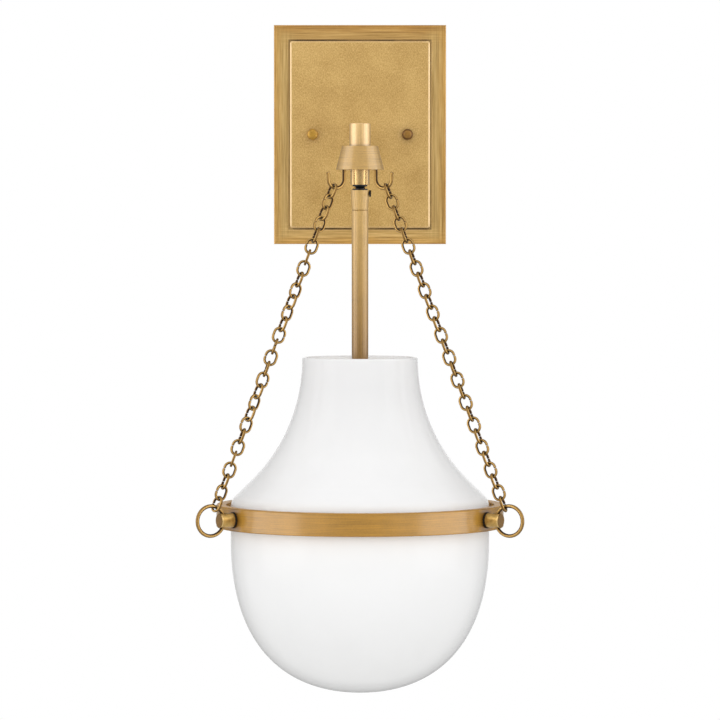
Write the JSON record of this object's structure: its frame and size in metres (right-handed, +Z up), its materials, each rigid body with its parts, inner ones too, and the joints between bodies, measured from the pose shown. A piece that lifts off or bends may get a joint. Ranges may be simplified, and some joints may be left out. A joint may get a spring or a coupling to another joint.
{
  "type": "wall sconce",
  "caption": "Wall sconce: stepped brass wall plate, arm and cone with hooks, chains that carry a hoop with an opal glass shade, and a ball-swivel stem with the lamp inside.",
  "frame": {"origin": "middle of the wall strap's screw slots, on the wall plane behind the middle of the wall plate", "axes": "+Z up, +Y into the wall, so the front faces -Y, and +X to the right seen from the front"},
  "size_m": [0.2274, 0.2535, 0.4776],
  "materials": {
    "aged_brass": "brushed and aged, satin",
    "chain_brass": "aged, darker in the recesses",
    "black_steel": "blackened, satin",
    "zinc_steel": "zinc plated",
    "earth_green": "green passivated",
    "opal_glass": "opal white, glossy",
    "lamp_glass": "frosted",
    "lamp_metal": "bright",
    "porcelain": "glazed white",
    "bare_brass": "bright",
    "liner_plastic": "plain",
    "seal_rubber": "soft clear silicone",
    "washer_rubber": "black",
    "lead_insulation": "plain"
  },
  "bodies": {
    "root": {"mounting_strap": "zinc_steel", "mounting_studs": "zinc_steel", "stud_lock_nuts": "zinc_steel", "earth_screw": "earth_green", "backplate": "aged_brass", "arm": "aged_brass", "arm_washer": "zinc_steel", "arm_nut": "zinc_steel", "arm_leads": "lead_insulation", "hub": "aged_brass", "hub_nipple": "zinc_steel", "hook_cone": "aged_brass", "hook_left": "chain_brass", "hook_right": "chain_brass", "hook_rear": "chain_brass", "swivel_post": "aged_brass", "swivel_ball": "black_steel"},
    "cap_nut_left": {"cap_nut_left": "aged_brass"},
    "cap_nut_right": {"cap_nut_right": "aged_brass"},
    "liner": {"swivel_liner": "liner_plastic"},
    "stem": {"swivel_retainer": "black_steel", "swivel_collar": "aged_brass", "collar_lock_screw": "black_steel", "stem_tube": "aged_brass", "stem_leads": "lead_insulation", "socket_cap": "aged_brass", "socket_locknut": "zinc_steel", "socket_body": "porcelain", "socket_screws": "zinc_steel", "screw_shell": "bare_brass", "centre_contact": "bare_brass"},
    "lamp": {"lamp_cap": "lamp_metal", "lamp_envelope": "lamp_glass"},
    "hoop": {"hoop_ring": "aged_brass", "hoop_gasket": "seal_rubber", "boss_left": "aged_brass", "boss_right": "aged_brass", "boss_rear": "aged_brass", "boss_washers": "washer_rubber", "boss_screws": "zinc_steel"},
    "shade": {"glass_shade": "opal_glass"},
    "loop_rear": {"loop_rear": "aged_brass"},
    "chain_rear": {"chain_rear": "chain_brass"},
    "loop_left": {"loop_left": "aged_brass"},
    "chain_left": {"chain_left": "chain_brass"},
    "loop_right": {"loop_right": "aged_brass"},
    "chain_right": {"chain_right": "chain_brass"}
  },
  "joints": [
    {"name": "cap_nut_left_turn", "type": "hinge", "parent": "root", "child": "cap_nut_left", "pos_m": [-0.03492, -0.0174, 0], "axis": [0, -1, 0], "continuous": true},
    {"name": "cap_nut_right_turn", "type": "hinge", "parent": "root", "child": "cap_nut_right", "pos_m": [0.03492, -0.0174, 0], "axis": [0, -1, 0], "continuous": true},
    {"name": "stem_tilt_fore_aft", "type": "hinge", "parent": "root", "child": "liner", "pos_m": [0, -0.152, -0.046], "axis": [1, 0, 0], "range_deg": [-3, 3]},
    {"name": "stem_tilt_side", "type": "hinge", "parent": "liner", "child": "stem", "pos_m": [0, -0.152, -0.046], "axis": [0, 1, 0], "range_deg": [-3, 3]},
    {"name": "lamp_turn", "type": "hinge", "parent": "stem", "child": "lamp", "pos_m": [0, -0.152, -0.2521], "axis": [0, 0, 1], "continuous": true},
    {"name": "hoop_swing", "type": "hinge", "parent": "root", "child": "hoop", "pos_m": [0, -0.152, 0.0114], "axis": [0, 1, 0], "range_deg": [-4, 4]},
    {"name": "shade_turn", "type": "hinge", "parent": "hoop", "child": "shade", "pos_m": [0, -0.152, -0.2715], "axis": [0, 0, 1], "continuous": true},
    {"name": "loop_rear_yaw", "type": "hinge", "parent": "hoop", "child": "loop_rear", "pos_m": [0, -0.0423, -0.2715], "axis": [0, 0, 1], "range_deg": [-8, 8]},
    {"name": "chain_rear_swing", "type": "hinge", "parent": "root", "child": "chain_rear", "pos_m": [0, -0.13275, -0.0342], "axis": [0, 1, 0], "range_deg": [-4.9, 4.9]},
    {"name": "loop_left_yaw", "type": "hinge", "parent": "hoop", "child": "loop_left", "pos_m": [-0.095, -0.20685, -0.2715], "axis": [0, 0, 1], "range_deg": [-8, 8]},
    {"name": "chain_left_swing", "type": "hinge", "parent": "root", "child": "chain_left", "pos_m": [-0.01667, -0.16162, -0.0342], "axis": [0, 1, 0], "range_deg": [-4.9, 4.9]},
    {"name": "loop_right_yaw", "type": "hinge", "parent": "hoop", "child": "loop_right", "pos_m": [0.095, -0.20685, -0.2715], "axis": [0, 0, 1], "range_deg": [-8, 8]},
    {"name": "chain_right_swing", "type": "hinge", "parent": "root", "child": "chain_right", "pos_m": [0.01667, -0.16162, -0.0342], "axis": [0, 1, 0], "range_deg": [-4.9, 4.9]}
  ],
  "couplings": [
    {"joint": "chain_rear_swing", "follows": "hoop_swing", "ratio": 1.1922},
    {"joint": "chain_left_swing", "follows": "hoop_swing", "ratio": 1.1922},
    {"joint": "chain_right_swing", "follows": "hoop_swing", "ratio": 1.1922}
  ]
}
